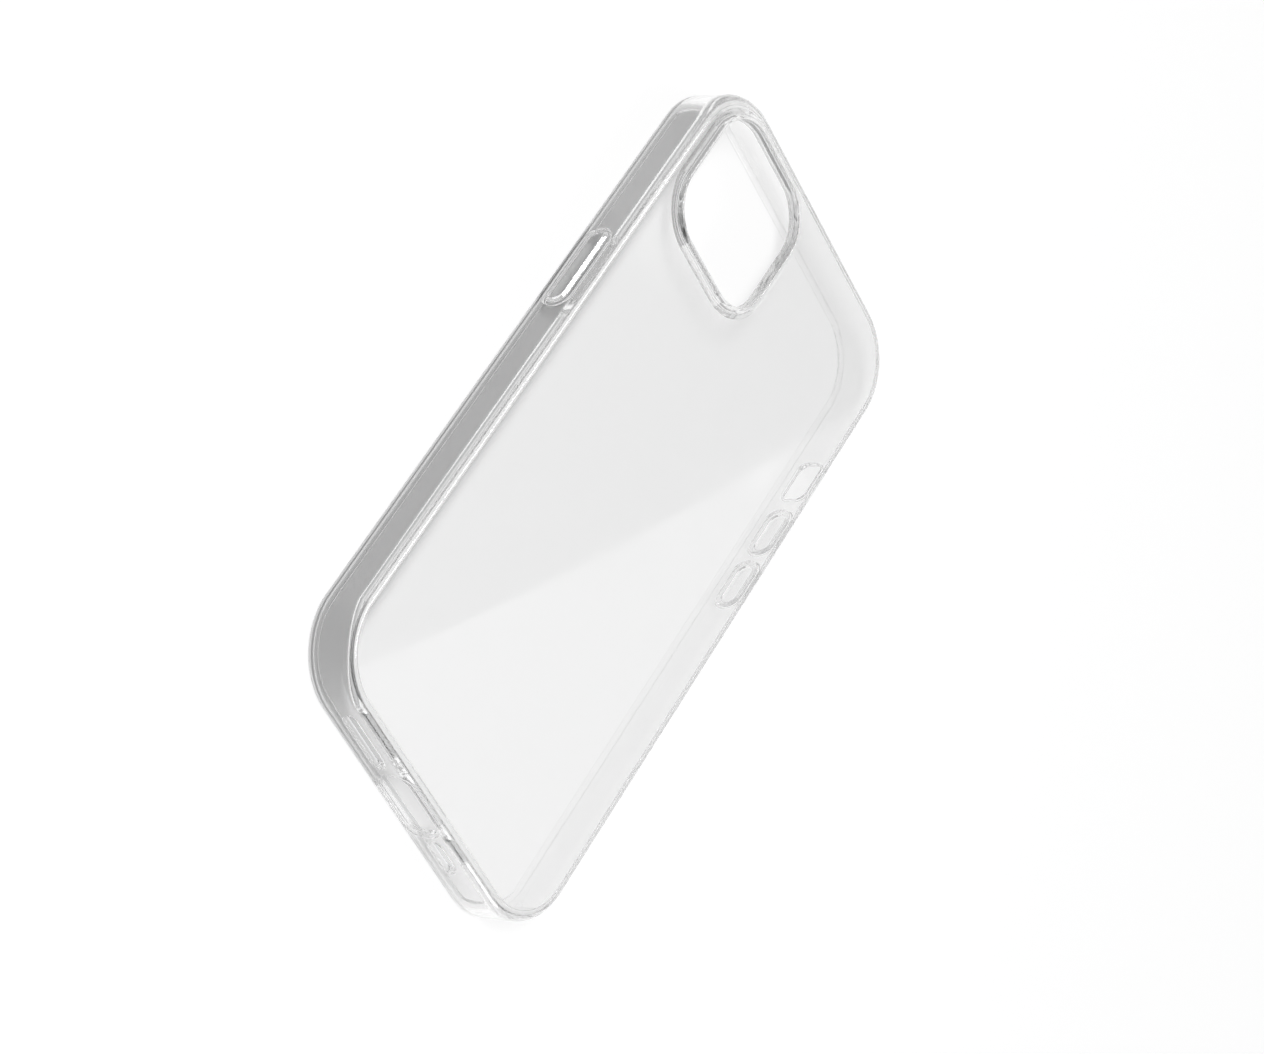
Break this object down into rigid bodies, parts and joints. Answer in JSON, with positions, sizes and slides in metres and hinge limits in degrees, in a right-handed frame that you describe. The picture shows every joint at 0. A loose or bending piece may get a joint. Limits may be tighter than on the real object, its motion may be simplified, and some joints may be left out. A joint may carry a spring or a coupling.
{
  "type": "phone case",
  "caption": "Clear phone case: hard back plate in a soft bumper frame, raised camera guard, pressable side-button covers, and cut-outs for the mute switch, port, speaker and microphone.",
  "frame": {"origin": "centre of the case's footprint, on the plane of the front lip that it rests on", "axes": "+Z out of the case's back, +Y along its length towards the camera end, +X to the right seen from the back"},
  "size_m": [0.075, 0.1492, 0.011],
  "materials": {
    "soft_clear_plastic": "clear soft polyurethane, glossy",
    "hard_clear_plastic": "clear hard polycarbonate, high gloss",
    "guard_clear_plastic": "clear soft polyurethane, glossy",
    "button_clear_plastic": "clear soft polyurethane, glossy"
  },
  "bodies": {
    "shell": {"bumper_frame": "soft_clear_plastic", "back_plate": "hard_clear_plastic", "camera_guard": "guard_clear_plastic"},
    "power": {"power_button": "button_clear_plastic"},
    "volume_up": {"volume_up_button": "button_clear_plastic"},
    "volume_down": {"volume_down_button": "button_clear_plastic"}
  },
  "joints": [
    {"name": "power_press", "type": "slide", "parent": "shell", "child": "power", "axis": [1, 0, 0], "range_m": [0, 0.0003], "stiffness_N_per_m": 1500},
    {"name": "volume_up_press", "type": "slide", "parent": "shell", "child": "volume_up", "axis": [-1, 0, 0], "range_m": [0, 0.0003], "stiffness_N_per_m": 1500},
    {"name": "volume_down_press", "type": "slide", "parent": "shell", "child": "volume_down", "axis": [-1, 0, 0], "range_m": [0, 0.0003], "stiffness_N_per_m": 1500}
  ]
}
